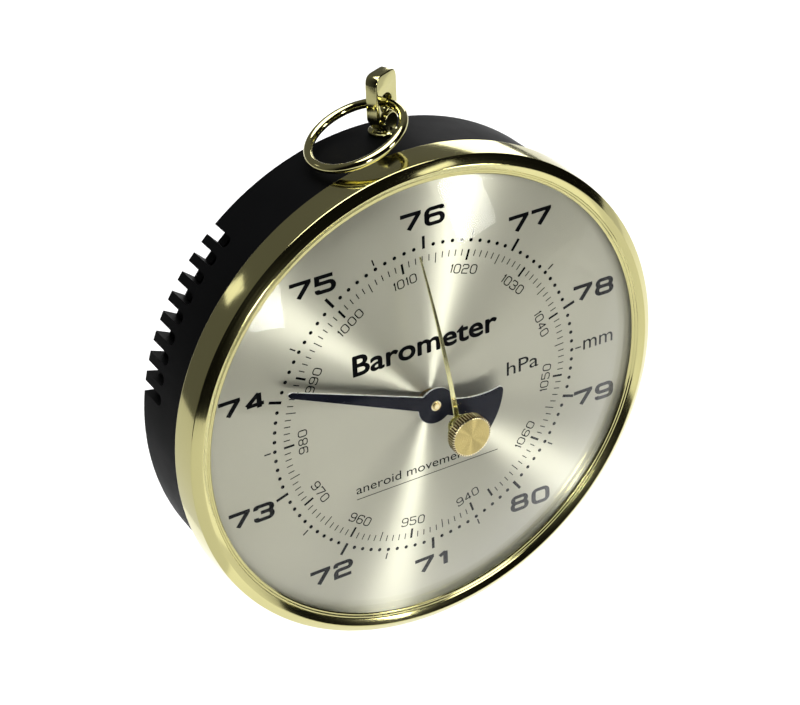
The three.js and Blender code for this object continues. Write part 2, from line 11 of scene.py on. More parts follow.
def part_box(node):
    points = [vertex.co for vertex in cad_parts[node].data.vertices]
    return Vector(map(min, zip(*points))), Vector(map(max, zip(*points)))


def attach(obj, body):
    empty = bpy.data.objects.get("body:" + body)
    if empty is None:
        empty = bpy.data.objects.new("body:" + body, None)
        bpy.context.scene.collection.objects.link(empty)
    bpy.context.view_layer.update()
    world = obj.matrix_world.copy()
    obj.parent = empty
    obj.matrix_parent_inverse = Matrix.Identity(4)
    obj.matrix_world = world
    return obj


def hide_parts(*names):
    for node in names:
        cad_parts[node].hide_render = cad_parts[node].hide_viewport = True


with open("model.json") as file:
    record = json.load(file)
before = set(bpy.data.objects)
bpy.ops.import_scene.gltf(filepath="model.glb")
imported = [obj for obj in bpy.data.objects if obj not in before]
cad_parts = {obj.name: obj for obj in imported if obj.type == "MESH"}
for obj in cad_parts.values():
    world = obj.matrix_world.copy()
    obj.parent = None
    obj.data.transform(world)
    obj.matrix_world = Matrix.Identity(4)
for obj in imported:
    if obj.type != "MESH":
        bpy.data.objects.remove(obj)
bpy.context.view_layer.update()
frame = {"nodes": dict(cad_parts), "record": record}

random.seed(7)

MM = 0.001


def box_mm(node):
    """Lowest and highest corners of a CAD node at rest, in millimetres."""
    low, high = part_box(node)
    return [c / MM for c in low], [c / MM for c in high]


# ---- driving sizes, read from the frame ----

DIAL_LOW, DIAL_HIGH = box_mm("dial_plate")
DIAL_Y = DIAL_LOW[1]
DIAL_BACK_Y = DIAL_HIGH[1]
DIAL_R = (DIAL_HIGH[0] - DIAL_LOW[0]) / 2
BEZEL_LOW, BEZEL_HIGH = box_mm("bezel")
BEZEL_R = (BEZEL_HIGH[0] - BEZEL_LOW[0]) / 2
CASE_LOW, CASE_HIGH = box_mm("case_shell")
CASE_R = (CASE_HIGH[0] - CASE_LOW[0]) / 2
KNOB_LOW, KNOB_HIGH = box_mm("set_knob")
KNOB_R = (KNOB_HIGH[0] - KNOB_LOW[0]) / 2
WASHER_LOW, WASHER_HIGH = box_mm("knob_washer")
POINTER_LOW, POINTER_HIGH = box_mm("pointer")
GLASS_LOW, GLASS_HIGH = box_mm("crystal")

# The unit of the dial's print: the outer radius of the centimetre marks.
SCALE_R = 44.7


# ---- mesh helpers ----

def clock(radius, degrees):
    """X and Z of a point at a clock angle."""
    a = math.radians(degrees)
    return radius * math.sin(a), radius * math.cos(a)


def mesh(name, verts, faces, material, smooth=True, sharp=32):
    """A mesh object from vertices in millimetres, with its faces turned outwards."""
    data = bpy.data.meshes.new(name)
    data.from_pydata([Vector(v) * MM for v in verts], [], faces)
    data.validate()
    bm = bmesh.new()
    bm.from_mesh(data)
    bmesh.ops.remove_doubles(bm, verts=bm.verts, dist=2e-7)
    bmesh.ops.recalc_face_normals(bm, faces=bm.faces)
    bm.to_mesh(data)
    bm.free()
    piece = bpy.data.objects.new(name, data)
    bpy.context.scene.collection.objects.link(piece)
    finish_mesh(piece, material, smooth, sharp)
    return piece


def finish_mesh(piece, material, smooth=True, sharp=32):
    if material is not None:
        piece.data.materials.clear()
        piece.data.materials.append(material)
    if smooth:
        for polygon in piece.data.polygons:
            polygon.use_smooth = True
        piece.data.set_sharp_from_angle(angle=math.radians(sharp))


def place(piece, body, slot, *nodes):
    """Rides a piece on its body, with the CAD nodes that it stands for."""
    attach(piece, body)
    if nodes:
        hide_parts(*nodes)
    return piece


def rounded(corners, closed=True, steps=5):
    """An outline whose corners (x, y, radius) are rounded off by that much."""
    count = len(corners)
    out = []
    for i, (x, y, radius) in enumerate(corners):
        here = Vector((x, y))
        if radius == 0 or (not closed and i in (0, count - 1)):
            out.append(here)
            continue
        before = Vector(corners[(i - 1) % count][:2]) - here
        after = Vector(corners[(i + 1) % count][:2]) - here
        half = before.angle(after) / 2
        reach = min(radius / math.tan(half), before.length * 0.49, after.length * 0.49)
        start = here + before.normalized() * reach
        end = here + after.normalized() * reach
        for k in range(steps + 1):
            t = k / steps
            out.append(start.lerp(here, t).lerp(here.lerp(end, t), t))
    return out


def lathe(profile, segments, closed=True):
    """Vertices and faces of a profile of (radius, y) turned about the Y axis."""
    verts = []
    for i in range(segments):
        a = 2 * math.pi * i / segments
        verts += [(r * math.sin(a), y, r * math.cos(a)) for r, y in profile]
    count = len(profile)
    faces = []
    for i in range(segments):
        j = (i + 1) % segments
        for k in range(count if closed else count - 1):
            m = (k + 1) % count
            ring = [i * count + k, i * count + m, j * count + m, j * count + k]
            if profile[k][0] == 0:
                ring = ring[:3]
            elif profile[m][0] == 0:
                ring = [ring[0], ring[1], ring[3]]
            if profile[k][0] == 0 and profile[m][0] == 0:
                continue
            faces.append(ring)
    return verts, faces


def turned(name, profile, segments, material, sharp=32):
    return mesh(name, *lathe([tuple(p) for p in profile], segments), material, sharp=sharp)


def plate(name, outlines, front_y, back_y, material, bevel=0.0, bevel_steps=2):
    """A flat plate from outlines in X and Z (the first is the edge, the rest are holes)."""
    curve = bpy.data.curves.new(name, "CURVE")
    curve.dimensions = "2D"
    curve.fill_mode = "BOTH"
    curve.extrude = (back_y - front_y) / 2 - bevel
    curve.bevel_depth = bevel
    curve.bevel_resolution = bevel_steps
    curve.offset = -bevel
    for outline in outlines:
        spline = curve.splines.new("POLY")
        spline.points.add(len(outline) - 1)
        for point, (x, z) in zip(spline.points, outline):
            point.co = (x, z, 0, 1)
        spline.use_cyclic_u = True
    holder = bpy.data.objects.new(name, curve)
    bpy.context.scene.collection.objects.link(holder)
    data = bpy.data.meshes.new_from_object(holder.evaluated_get(bpy.context.evaluated_depsgraph_get()))
    middle = (front_y + back_y) / 2
    verts = [(v.co.x, middle - v.co.z, v.co.y) for v in data.vertices]
    faces = [list(p.vertices) for p in data.polygons]
    bpy.data.objects.remove(holder)
    bpy.data.curves.remove(curve)
    bpy.data.meshes.remove(data)
    return mesh(name, verts, faces, material)


def join(name, pieces):
    """Several loose meshes as one object."""
    bm = bmesh.new()
    for piece in pieces:
        bm.from_mesh(piece.data)
    first = pieces[0]
    bm.to_mesh(first.data)
    bm.free()
    for piece in pieces[1:]:
        bpy.data.objects.remove(piece)
    first.name = name
    first.data.name = name
    return first


def turn_about_y(piece, degrees):
    piece.data.transform(Matrix.Rotation(math.radians(degrees), 4, "Y"))
    return piece


def boolean(piece, other, operation):
    """Cuts or joins another mesh, and removes it."""
    modifier = piece.modifiers.new("cut", "BOOLEAN")
    modifier.operation = operation
    modifier.object = other
    modifier.solver = "EXACT"
    graph = bpy.context.evaluated_depsgraph_get()
    data = bpy.data.meshes.new_from_object(piece.evaluated_get(graph))
    piece.modifiers.remove(modifier)
    old = piece.data
    piece.data = data
    bpy.data.meshes.remove(old)
    bpy.data.objects.remove(other)
    return piece


# ---- materials ----

class Shader:
    """A Principled material with short calls for the nodes that feed it."""

    def __init__(self, name, color, roughness, metallic=0.0, **sockets):
        self.material = bpy.data.materials.new(name)
        self.material.use_nodes = True
        self.tree = self.material.node_tree
        self.bsdf = self.tree.nodes["Principled BSDF"]
        self.output = self.tree.nodes["Material Output"]
        self.set("Base Color", (*color, 1))
        self.set("Roughness", roughness)
        self.set("Metallic", metallic)
        for socket, value in sockets.items():
            self.set(socket.replace("_", " "), value)
        self.coords = self.node("ShaderNodeTexCoord").outputs["Object"]

    def set(self, socket, value):
        self.bsdf.inputs[socket].default_value = value

    def node(self, kind, **properties):
        made = self.tree.nodes.new(kind)
        for key, value in properties.items():
            setattr(made, key, value)
        return made

    def link(self, source, target):
        self.tree.links.new(source, target)

    def math(self, operation, a, b=None):
        made = self.node("ShaderNodeMath", operation=operation)
        for socket, value in zip(made.inputs, (a, b)):
            if value is None:
                continue
            if isinstance(value, (int, float)):
                socket.default_value = value
            else:
                self.link(value, socket)
        return made.outputs[0]

    def noise(self, scale, detail=3.0, roughness=0.55, vector=None):
        made = self.node("ShaderNodeTexNoise")
        made.inputs["Scale"].default_value = scale
        made.inputs["Detail"].default_value = detail
        made.inputs["Roughness"].default_value = roughness
        self.link(vector or self.coords, made.inputs["Vector"])
        return made.outputs["Fac"]

    def ramp(self, source, low, high, out_low, out_high):
        made = self.node("ShaderNodeMapRange")
        made.inputs["From Min"].default_value = low
        made.inputs["From Max"].default_value = high
        made.inputs["To Min"].default_value = out_low
        made.inputs["To Max"].default_value = out_high
        self.link(source, made.inputs["Value"])
        return made.outputs["Result"]

    def mix(self, factor, a, b):
        made = self.node("ShaderNodeMix", data_type="RGBA")
        self.link(factor, made.inputs["Factor"])
        for socket, value in ((made.inputs[6], a), (made.inputs[7], b)):
            if isinstance(value, tuple):
                socket.default_value = (*value, 1)
            else:
                self.link(value, socket)
        return made.outputs[2]

    def bump(self, height, distance, strength=1.0):
        made = self.node("ShaderNodeBump")
        made.inputs["Distance"].default_value = distance * MM
        made.inputs["Strength"].default_value = strength
        self.link(height, made.inputs["Height"])
        self.link(made.outputs["Normal"], self.bsdf.inputs["Normal"])
        return made.outputs["Normal"]

    def circular_brushing(self, anisotropy):
        """Stretches the highlights as fine grooves in circles about the Y axis do."""
        self.set("Anisotropic", anisotropy)
        self.set("Anisotropic Rotation", 0.25)
        tangent = self.node("ShaderNodeTangent", direction_type="RADIAL", axis="Y")
        self.link(tangent.outputs[0], self.bsdf.inputs["Tangent"])

    def about_y(self):
        """Radius and turn about the Y axis, as a vector for textures that follow a turned surface."""
        split = self.node("ShaderNodeSeparateXYZ")
        self.link(self.coords, split.inputs[0])
        x, y, z = split.outputs
        radius = self.math("SQRT", self.math("ADD", self.math("MULTIPLY", x, x), self.math("MULTIPLY", z, z)))
        turn = self.math("ARCTAN2", x, z)
        return radius, turn, y

    def vector(self, x, y, z):
        made = self.node("ShaderNodeCombineXYZ")
        for socket, value in zip(made.inputs, (x, y, z)):
            if isinstance(value, (int, float)):
                socket.default_value = value
            else:
                self.link(value, socket)
        return made.outputs[0]


def polished_brass(name, color, roughness=0.07):
    """Lacquered brass: mirror-like, with faint cloudiness and hairline marks."""
    s = Shader(name, color, roughness, 1.0)
    cloud = s.noise(160, 4)
    s.link(s.ramp(cloud, 0.3, 0.7, roughness * 0.75, roughness * 1.5), s.bsdf.inputs["Roughness"])
    deep = tuple(c * 0.9 for c in color)
    s.link(s.mix(s.noise(60, 2), deep, color), s.bsdf.inputs["Base Color"])
    s.bump(s.noise(900, 2), 0.004, 0.25)
    return s.material


def turned_brass(name, color, roughness=0.09):
    """Polished brass turned on a lathe, with fine marks that run round the Y axis."""
    s = Shader(name, color, roughness, 1.0)
    radius, turn, y = s.about_y()
    across, along = s.math("MULTIPLY", radius, 9000), s.math("MULTIPLY", y, 9000)
    lines = s.noise(1.0, 3, 0.6, s.vector(across, s.math("MULTIPLY", turn, 2.0), along))
    s.link(s.ramp(lines, 0.3, 0.7, roughness * 0.7, roughness * 1.5), s.bsdf.inputs["Roughness"])
    s.link(s.mix(s.noise(55, 2), tuple(c * 0.92 for c in color), color), s.bsdf.inputs["Base Color"])
    s.bump(lines, 0.002, 0.2)
    return s.material


def spun_brass(name, color):
    """A flat brass face spun on a lathe, whose circular marks spread the light into a bow-tie."""
    s = Shader(name, color, 0.3, 1.0)
    s.circular_brushing(0.95)
    radius, turn, y = s.about_y()
    across, along = s.math("MULTIPLY", radius, 12000), s.math("MULTIPLY", turn, 2.0)
    lines = s.noise(1.0, 3, 0.6, s.vector(across, along, 0.0))
    s.link(s.ramp(lines, 0.3, 0.7, 0.24, 0.36), s.bsdf.inputs["Roughness"])
    s.link(s.mix(lines, tuple(c * 0.85 for c in color), color), s.bsdf.inputs["Base Color"])
    s.bump(lines, 0.004, 0.3)
    return s.material


def moulded_plastic(name):
    """Black case moulding: satin, slightly blue, with a fine grain and broad patches of lighter tone."""
    s = Shader(name, (0.010, 0.011, 0.014), 0.42, 0.0)
    s.set("Specular IOR Level", 0.03)
    grain = s.noise(2600, 3)
    broad = s.noise(40, 4)
    s.link(s.mix(broad, (0.0019, 0.002, 0.0022), (0.0036, 0.0037, 0.0038)), s.bsdf.inputs["Base Color"])
    s.link(s.ramp(broad, 0.3, 0.7, 0.42, 0.56), s.bsdf.inputs["Roughness"])
    s.bump(grain, 0.02, 0.3)
    return s.material


def brushed_dial(name):
    """Warm silver sheet, brushed in circles about the dial's centre."""
    s = Shader(name, (0.55, 0.535, 0.43), 0.45, 0.88)
    s.circular_brushing(1.0)
    radius, turn, y = s.about_y()
    across, along = s.math("MULTIPLY", radius, 7000), s.math("MULTIPLY", turn, 3.0)
    lines = s.noise(1.0, 4, 0.7, s.vector(across, along, 0.0))
    s.link(s.ramp(lines, 0.3, 0.7, 0.38, 0.48), s.bsdf.inputs["Roughness"])
    s.link(s.mix(lines, (0.52, 0.505, 0.405), (0.58, 0.565, 0.455)), s.bsdf.inputs["Base Color"])
    s.bump(lines, 0.003, 0.25)
    return s.material


def printed_ink(name, color=(0.0015, 0.0015, 0.002)):
    s = Shader(name, color, 0.5, 0.0)
    s.set("Specular IOR Level", 0.03)
    s.link(s.ramp(s.noise(1500, 2), 0.3, 0.7, 0.42, 0.6), s.bsdf.inputs["Roughness"])
    s.link(s.mix(s.noise(800, 2), color, tuple(c * 1.6 for c in color)), s.bsdf.inputs["Base Color"])
    return s.material


def pointer_paint(name):
    """Matt blue-black paint."""
    s = Shader(name, (0.012, 0.014, 0.022), 0.42, 0.0)
    s.set("Specular IOR Level", 0.03)
    s.link(s.ramp(s.noise(500, 3), 0.3, 0.7, 0.36, 0.5), s.bsdf.inputs["Roughness"])
    s.link(s.mix(s.noise(220, 3), (0.004, 0.0045, 0.009), (0.008, 0.009, 0.016)), s.bsdf.inputs["Base Color"])
    s.bump(s.noise(3000, 2), 0.004, 0.2)
    return s.material


def clear_glass(name):
    """Clear glass that mirrors by its Fresnel share and lets the lamps through to the dial."""
    s = Shader(name, (0.985, 0.99, 0.985), 0.0, 0.0, IOR=1.17)
    s.set("Transmission Weight", 1.0)
    s.link(s.ramp(s.noise(30, 2), 0.2, 0.8, 0.0, 0.006), s.bsdf.inputs["Roughness"])
    through = s.node("ShaderNodeBsdfTransparent")
    through.inputs["Color"].default_value = (0.93, 0.94, 0.93, 1)
    path = s.node("ShaderNodeLightPath")
    either = s.math("MAXIMUM", path.outputs["Is Shadow Ray"], path.outputs["Is Diffuse Ray"])
    choose = s.node("ShaderNodeMixShader")
    s.link(either, choose.inputs["Fac"])
    s.link(s.bsdf.outputs[0], choose.inputs[1])
    s.link(through.outputs[0], choose.inputs[2])
    s.link(choose.outputs[0], s.output.inputs["Surface"])
    return s.material


def rough_metal(name, color, roughness):
    """Satin metal of the inner works: drawn sheet and rod with fine lines."""
    s = Shader(name, color, roughness, 1.0)
    lines = s.noise(700, 3, 0.6)
    s.link(s.ramp(lines, 0.3, 0.7, roughness * 0.8, roughness * 1.25), s.bsdf.inputs["Roughness"])
    s.link(s.mix(s.noise(120, 3), tuple(c * 0.85 for c in color), color), s.bsdf.inputs["Base Color"])
    s.bump(s.noise(1800, 2), 0.004, 0.3)
    return s.material


def soft_rubber(name):
    s = Shader(name, (0.015, 0.015, 0.016), 0.75, 0.0)
    s.link(s.ramp(s.noise(900, 3), 0.3, 0.7, 0.65, 0.85), s.bsdf.inputs["Roughness"])
    s.bump(s.noise(2500, 2), 0.01, 0.3)
    return s.material


BRASS = polished_brass("brass_polished", (0.58, 0.54, 0.25))
EYE_BRASS = polished_brass("brass_eye", (0.50, 0.47, 0.22), 0.1)
TURNED = turned_brass("brass_turned", (0.58, 0.54, 0.25))
KNOB_BRASS = polished_brass("brass_knob", (0.92, 0.80, 0.48), 0.12)
KNOB_FACE = spun_brass("brass_knob_face", (0.58, 0.47, 0.19))
# Painted shade: dark brown brass for the knob's groove faces, in place of the shade inside the flutes.
KNOB_GROOVE_SHADE = polished_brass("brass_groove_painted_shade", (0.10, 0.06, 0.02), 0.4)
HAND_BRASS = polished_brass("brass_hand", (0.84, 0.80, 0.42), 0.16)
CASE = moulded_plastic("case_plastic")
DIAL = brushed_dial("dial_metal")
INK = printed_ink("dial_ink")
POINTER = pointer_paint("pointer_paint")
POINTER_EDGE = rough_metal("pointer_edge", (0.85, 0.85, 0.86), 0.3)
GLASS = clear_glass("crystal_glass")
WORKS = rough_metal("works_brass", (0.62, 0.47, 0.20), 0.32)
STEEL = rough_metal("works_steel", (0.52, 0.52, 0.54), 0.34)
CAPSULE = rough_metal("capsule_metal", (0.60, 0.60, 0.57), 0.28)
RUBBER = soft_rubber("gasket_rubber")


# ---- camera, lights and floor ----

CAMERA_AZIMUTH = -29.22
CAMERA_ELEVATION = 31.11
CAMERA_ROLL = -2.27
CAMERA_DISTANCE = 0.4921
CAMERA_AIM = Vector((-0.0026, -0.0170, 0.0098))
CAMERA_LENS = 91.08
FLOOR_DROP = 0.16


def look(azimuth, elevation):
    """The direction from the object towards a viewer at these angles."""
    a, e = math.radians(azimuth), math.radians(elevation)
    return Vector((math.sin(a) * math.cos(e), -math.cos(a) * math.cos(e), math.sin(e)))


def make_camera():
    camera = bpy.data.objects.new("camera", bpy.data.cameras.new("camera"))
    bpy.context.scene.collection.objects.link(camera)
    camera.data.lens = CAMERA_LENS
    camera.data.sensor_width = 36
    camera.data.clip_start = 0.01
    back = look(CAMERA_AZIMUTH, CAMERA_ELEVATION)
    right = Vector((0, 0, 1)).cross(back).normalized()
    up = back.cross(right)
    turn = Matrix((right, up, back)).transposed().to_4x4()
    camera.matrix_world = (
        Matrix.Translation(CAMERA_AIM + back * CAMERA_DISTANCE)
        @ turn
        @ Matrix.Rotation(math.radians(CAMERA_ROLL), 4, "Z")
    )
    bpy.context.scene.camera = camera


def stage_sheet(name, corners, z, shade):
    """A flat sheet of one shade of grey, given by its corners in X and Y."""
    data = bpy.data.meshes.new(name)
    data.from_pydata([(x, y, z) for x, y in corners], [], [list(range(len(corners)))])
    sheet = bpy.data.objects.new(name, data)
    bpy.context.scene.collection.objects.link(sheet)
    data.materials.append(Shader(name, (shade, shade, shade), 0.7).material)


def make_floor():
    """A white sheet well below the object, on a grey table."""
    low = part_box("bezel")[0][2] - FLOOR_DROP
    stage_sheet("floor_table", [(-0.8, -0.7), (6, -0.7), (6, 8), (-0.8, 8)], low - 0.004, 0.62)
    stage_sheet("floor_white", [(-0.13, -0.17), (6, -0.17), (6, 8), (-0.13, 8)], low, 0.92)


def area_light(name, azimuth, elevation, distance, width, height, power):
    """A soft rectangular lamp that faces the dial."""
    lamp = bpy.data.lights.new(name, "AREA")
    lamp.shape = "RECTANGLE"
    lamp.size = width
    lamp.size_y = height
    lamp.energy = power
    holder = bpy.data.objects.new(name, lamp)
    bpy.context.scene.collection.objects.link(holder)
    away = look(azimuth, elevation)
    holder.location = away * distance
    holder.rotation_euler = away.to_track_quat("Z", "Y").to_euler()


def make_world():
    """A dark room whose far side, behind the object, is a little lighter."""
    world = bpy.data.worlds.new("studio")
    bpy.context.scene.world = world
    world.use_nodes = True
    nodes, links = world.node_tree.nodes, world.node_tree.links
    split = nodes.new("ShaderNodeSeparateXYZ")
    level = nodes.new("ShaderNodeMapRange")
    links.new(nodes.new("ShaderNodeTexCoord").outputs["Generated"], split.inputs[0])
    links.new(split.outputs["Y"], level.inputs["Value"])
    links.new(level.outputs["Result"], nodes["Background"].inputs["Strength"])
    for socket, value in (("From Min", -0.1), ("From Max", 0.4), ("To Min", 0.005), ("To Max", 0.14)):
        level.inputs[socket].default_value = value
    nodes["Background"].inputs["Color"].default_value = (1, 1, 1, 1)


def sun(strength, width):
    """Light from straight above, from a patch of sky this many degrees wide."""
    lamp = bpy.data.lights.new("overhead", "SUN")
    lamp.energy = strength
    lamp.angle = math.radians(width)
    holder = bpy.data.objects.new("overhead", lamp)
    bpy.context.scene.collection.objects.link(holder)


make_camera()
make_floor()
make_world()
sun(3.9, 60)
area_light("lamp_front_right", 36.5, 15, 0.9, 0.17, 0.22, 2.4)
area_light("lamp_front_top", 33, 32, 0.9, 0.16, 0.06, 0.06)
area_light("lamp_front_left", -17, 7.5, 0.9, 0.12, 0.16, 2.1)
area_light("lamp_back_right", 137, 17, 1.0, 0.35, 0.35, 1.2)
area_light("lamp_back_left", -137, 25, 1.0, 0.11, 0.14, 0.07)
bpy.context.scene.view_settings.view_transform = "Standard"


# ---- bezel, glass, dial and case ----

ROUND = 192


def make_bezel():
    low_y, high_y = BEZEL_LOW[1], BEZEL_HIGH[1]
    corners = [
        (BEZEL_R, high_y, 0.35), (64.5, low_y + 1.5, 0.35), (62.2, low_y, 0.35), (60.7, low_y + 0.85, 0.1),
        (60.5, low_y + 1.15, 0.05), (60.15, low_y + 1.15, 0.08), (59.95, low_y + 1.45, 0.05),
        (59.6, low_y + 1.45, 0.08), (59.3, low_y + 1.7, 0.05),
        (59.5, low_y + 1.9, 0), (63.5, low_y + 2.2, 0), (63.5, low_y + 4.7, 0), (64.1, low_y + 5, 0),
        (64.1, high_y, 0.1),
    ]
    return turned("bezel_ring", rounded(corners), ROUND, TURNED)


def make_crystal():
    apex = GLASS_LOW[1]
    edge_y = GLASS_HIGH[1]
    edge_r = (GLASS_HIGH[0] - GLASS_LOW[0]) / 2
    dome_r = 133.4
    thickness = 1.5
    hole_r = 1.3
    centre = apex + dome_r

    def y_at(r, radius):
        return centre - math.sqrt(radius * radius - r * r)

    inner_r = math.sqrt((dome_r - thickness) ** 2 - (centre - edge_y) ** 2)
    steps = 40
    outer_radii = [hole_r + (edge_r - hole_r) * i / steps for i in range(steps + 1)]
    inner_radii = [hole_r + (inner_r - hole_r) * i / steps for i in range(steps, -1, -1)]
    outside = [(r, y_at(r, dome_r)) for r in outer_radii]
    inside = [(r, y_at(r, dome_r - thickness)) for r in inner_radii]
    return turned("dome_glass", outside + [(edge_r, edge_y)] + inside, ROUND, GLASS)


def make_dial():
    corners = [(3, DIAL_Y, 0.05), (DIAL_R, DIAL_Y, 0.12), (DIAL_R, DIAL_BACK_Y, 0.12), (3, DIAL_BACK_Y, 0.05)]
    return turned("dial_sheet", rounded(corners), ROUND, DIAL)


VENT_GROUPS = (60, 180, 300)
VENTS = 9
VENT_PITCH = 4.7
VENT_WIDTH = 2.9
VENT_LENGTH = 9.3
VENT_DEPTH = 3.9


def vent_cutter(angle):
    """A slot from behind the back face forward along the side wall, with a round front end."""
    half = VENT_WIDTH / 2
    outline = [(-half, 1)]
    for i in range(13):
        a = math.pi + math.pi * i / 12
        outline.append((half * math.cos(a), half - VENT_LENGTH + half * math.sin(a)))
    outline.append((half, 1))
    low, high = CASE_R - VENT_DEPTH, CASE_R + 3
    verts = [(x, y, low) for x, y in outline] + [(x, y, high) for x, y in outline]
    count = len(outline)
    faces = [list(range(count)), list(range(2 * count - 1, count - 1, -1))]
    faces += [[i, i + count, (i + 1) % count + count, (i + 1) % count] for i in range(count)]
    piece = mesh("vent", verts, faces, None, smooth=False)
    return turn_about_y(piece, angle)


def screw_places():
    """X and Z of the holes for the case screws."""
    for i in (1, 2, 3):
        low, high = box_mm(f"case_screw_{i}")
        yield (low[0] + high[0]) / 2, (low[2] + high[2]) / 2


def cylinder_cutter(radius, x, z):
    piece = turned("hole", [(0, -12), (radius, -12), (radius, 2), (0, 2)], 40, None)
    piece.data.transform(Matrix.Translation((x * MM, 0, z * MM)))
    return piece


def make_case():
    wall, back, front = 2.6, 3, CASE_LOW[1]
    inner = CASE_R - wall
    corners = [
        (0, 0, 0), (CASE_R, 0, 0.4), (CASE_R, front, 0.1),
        (inner, front, 0.1), (inner, -back, 0.8), (0, -back, 0),
    ]
    cup = turned("case_cup", rounded(corners), ROUND, None)
    cutters = []
    for group in VENT_GROUPS:
        for i in range(VENTS):
            cutters.append(vent_cutter(group + (i - (VENTS - 1) / 2) * VENT_PITCH))
    low, high = box_mm("adjusting_screw")
    cutters.append(cylinder_cutter(3.5, 0, (low[2] + high[2]) / 2))
    for x, z in screw_places():
        cutters.append(cylinder_cutter(2.9, x, z))
    boolean(cup, join("cutters", cutters), "DIFFERENCE")
    finish_mesh(cup, CASE, True, 30)
    return cup


place(make_bezel(), "case", "brass", "bezel")
place(make_crystal(), "case", "glass", "crystal")
place(make_dial(), "case", "dial", "dial_plate")
place(make_case(), "case", "case", "case_shell")


# ---- hanging eye and ring ----

EYE_TURN = 26
EYE_TOP = 15.5
EYE_HOLE_X = -0.6
EYE_HOLE_Z = 8.1
EYE_HOLE_R = 2.2
EYE_BOSS_Z = 3.2
EYE_LOW, EYE_HIGH = box_mm("hanging_eye")
EYE_AT = Vector(((EYE_LOW[0] + EYE_HIGH[0]) / 2, (EYE_LOW[1] + EYE_HIGH[1]) / 2, CASE_R))
RING_AT = Vector((0, -7.4, CASE_R + 8))


def circle(radius, x=0.0, z=0.0, steps=32):
    turns = [2 * math.pi * i / steps for i in range(steps)]
    return [(x + radius * math.cos(a), z + radius * math.sin(a)) for a in turns]


def make_eye():
    half, thickness, bottom = 4.1, 3.3, 1.6
    corners = [
        (-2.2, bottom, 0.8), (2.2, bottom, 0.8), (half, bottom + 2.8, 2.5), (half, EYE_TOP, 2.4),
        (-half, EYE_TOP, 2.4), (-half, bottom + 2.8, 2.5),
    ]
    outline = [tuple(p) for p in rounded(corners, steps=7)]
    hole = circle(EYE_HOLE_R, EYE_HOLE_X, EYE_HOLE_Z)
    body = plate("eye_plate", [outline, hole], -thickness / 2, thickness / 2, None, 0.35, 3)
    foot = turned("eye_foot", rounded([
        (0, -5.9, 0), (1.8, -5.9, 0.2), (1.8, 0.25, 0), (3.5, 0.25, 0.2), (3.5, 0.9, 0.3), (2.6, 1.3, 0.5),
        (2.0, 2.6, 0.3), (0, 2.6, 0),
    ]), 64, None)
    foot.data.transform(Matrix.Rotation(math.pi / 2, 4, "X"))
    face = -thickness / 2
    boss = turned("eye_boss", rounded([
        (0, face - 0.35, 0), (2.35, face - 0.9, 0.1), (2.7, face - 0.9, 0.15),
        (2.7, face + 0.2, 0), (0, face + 0.2, 0),
    ]), 64, None)
    boss.data.transform(Matrix.Translation((0, 0, EYE_BOSS_Z * MM)))
    eye = join("eye_and_foot", [body, foot, boss])
    eye.data.transform(Matrix.Translation(EYE_AT * MM) @ Matrix.Rotation(math.radians(EYE_TURN), 4, "Z"))
    finish_mesh(eye, EYE_BRASS, True, 40)
    return eye


def make_ring():
    """The wire runs through the eye's hole, and the ring has swung down to the left."""
    ring_r, wire_r, drop = 11.74, 1.1, math.radians(18.6)
    axis = Vector((0.43, -0.88, 0.19)).normalized()
    side = Vector((axis.y, -axis.x, 0)).normalized()
    up = side.cross(axis)
    to_centre = side * math.cos(drop) - up * math.sin(drop)
    centre = RING_AT + to_centre * ring_r
    normal = axis.cross(to_centre)
    around, across = 128, 28
    verts, faces = [], []
    for i in range(around):
        a = 2 * math.pi * i / around
        out = axis * math.cos(a) + to_centre * math.sin(a)
        for j in range(across):
            b = 2 * math.pi * j / across
            verts.append(centre + out * (ring_r + wire_r * math.cos(b)) + normal * (wire_r * math.sin(b)))
            k, m = (i + 1) % around, (j + 1) % across
            faces.append([i * across + j, k * across + j, k * across + m, i * across + m])
    return mesh("ring_wire", verts, faces, BRASS, sharp=60)


place(make_eye(), "case", "brass", "hanging_eye")
place(make_ring(), "ring", "brass", "hanging_ring")


# ---- set hand and knob ----

SET_ANGLE = -5.9


def make_knob():
    """Grip with straight flutes, with painted shade dark in their grooves, up to the rim of a flat spun face.
    """
    groove = (0, 0, 0, 0.7, 1, 0.7)
    flutes, steps, depth = 48, len(groove), 0.45
    front, back = KNOB_LOW[1], KNOB_HIGH[1]
    count = flutes * steps
    verts, faces = [], []

    def ring_at(y, radius, fluted=0.0):
        start = len(verts)
        for i in range(count):
            x, z = clock(radius - fluted * groove[i % steps], 360 * i / count)
            verts.append((x, y, z))
        return start

    rows = [
        ring_at(front + 1, 1.2), ring_at(back, 1.2), ring_at(back, KNOB_R - 0.6),
        ring_at(back - 0.2, KNOB_R, depth), ring_at(front + 0.15, KNOB_R, depth),
        ring_at(front, KNOB_R - 0.5), ring_at(front, 3.4), ring_at(front, 1.8), ring_at(front, 0.4),
    ]
    for a, b in zip(rows, rows[1:]):
        for i in range(count):
            j = (i + 1) % count
            faces.append([a + i, a + j, b + j, b + i])
    faces.append([rows[0] + i for i in range(count)])
    faces.append([rows[-1] + i for i in range(count)])
    knob = mesh("knob_knurled", verts, faces, KNOB_BRASS, sharp=20)
    knob.data.materials.append(KNOB_FACE)
    knob.data.materials.append(KNOB_GROOVE_SHADE)
    for polygon in knob.data.polygons:
        x, y, z = polygon.center / MM
        if y < front + 0.01:
            polygon.material_index = 1
        elif front + 0.2 < y < back - 0.3 and 2 < math.hypot(x, z) < KNOB_R - 0.08:
            # The groove faces take the painted shade.
            polygon.material_index = 2
    return knob


